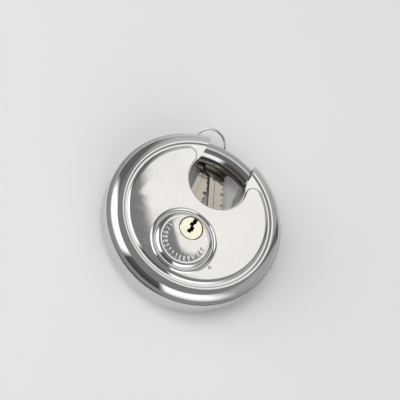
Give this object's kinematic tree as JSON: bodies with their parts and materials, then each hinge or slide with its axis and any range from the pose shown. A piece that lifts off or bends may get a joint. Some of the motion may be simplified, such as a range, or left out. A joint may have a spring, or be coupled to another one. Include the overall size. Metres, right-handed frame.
{
  "type": "disc padlock",
  "caption": "Round polished steel padlock with a throat, a turning round shackle bar, an off-centre key plug in a raised boss, and flat keys on a wire ring.",
  "frame": {"origin": "centre of the disc on the flat rear plateau that the padlock lies on", "axes": "+Z along the disc axis out of the keyhole face, +Y towards the throat and the shackle bar, +X right as seen from the keyhole face"},
  "size_m": [0.09, 0.0957, 0.0261],
  "materials": {
    "mirror_steel": "mirror-polished stainless sheet with fine handling scratches",
    "satin_steel": "satin, brushed round the edge",
    "hardened_steel": "ground hardened steel",
    "housing_brass": "machined brass",
    "plug_brass": "pale machined brass with turning marks",
    "pin_brass": "turned brass",
    "spring_steel": "bright drawn wire",
    "key_metal": "nickel-plated brass with cut edges"
  },
  "bodies": {
    "lock_case": {"front_shell": "mirror_steel", "rear_shell": "mirror_steel", "rim_band": "satin_steel", "throat_liner": "hardened_steel", "nose_socket": "hardened_steel", "bar_guide": "hardened_steel", "back_plate": "satin_steel", "spacer_pillars": "satin_steel", "guide_studs": "hardened_steel", "cylinder_housing": "housing_brass", "housing_screws": "satin_steel", "driver_pins": "pin_brass", "pin_springs": "spring_steel", "spring_cover": "pin_brass"},
    "shackle": {"shackle_bar": "mirror_steel", "shackle_carrier": "hardened_steel", "carrier_rivets": "satin_steel"},
    "plug": {"key_plug": "plug_brass", "key_pins": "pin_brass", "drive_pinion": "hardened_steel", "plug_clip": "spring_steel", "pinion_screw": "satin_steel"},
    "ring": {"key_ring": "spring_steel"},
    "lower_key": {"key_1": "key_metal"},
    "upper_key": {"key_2": "key_metal"}
  },
  "joints": [
    {"name": "shackle_turn", "type": "hinge", "parent": "lock_case", "child": "shackle", "pos_m": [0, 0, 0.012], "axis": [0, 0, 1], "range_deg": [0, 65.45]},
    {"name": "plug_turn", "type": "hinge", "parent": "lock_case", "child": "plug", "pos_m": [0, -0.0105, 0.016], "axis": [0, 0, 1], "range_deg": [0, 180]},
    {"name": "ring_swing", "type": "hinge", "parent": "lock_case", "child": "ring", "pos_m": [-0.0117, 0.0454, 0.0077], "axis": [0, 0, 1], "range_deg": [-2, 2]},
    {"name": "lower_key_swing", "type": "hinge", "parent": "ring", "child": "lower_key", "pos_m": [-0.0057, 0.0415, 0.0034], "axis": [0, 0, 1], "range_deg": [-4, 4]},
    {"name": "upper_key_swing", "type": "hinge", "parent": "ring", "child": "upper_key", "pos_m": [-0.0044, 0.0423, 0.0054], "axis": [0, 0, 1], "range_deg": [-4, 4]}
  ],
  "couplings": [
    {"joint": "plug_turn", "follows": "shackle_turn", "ratio": 2.75}
  ]
}
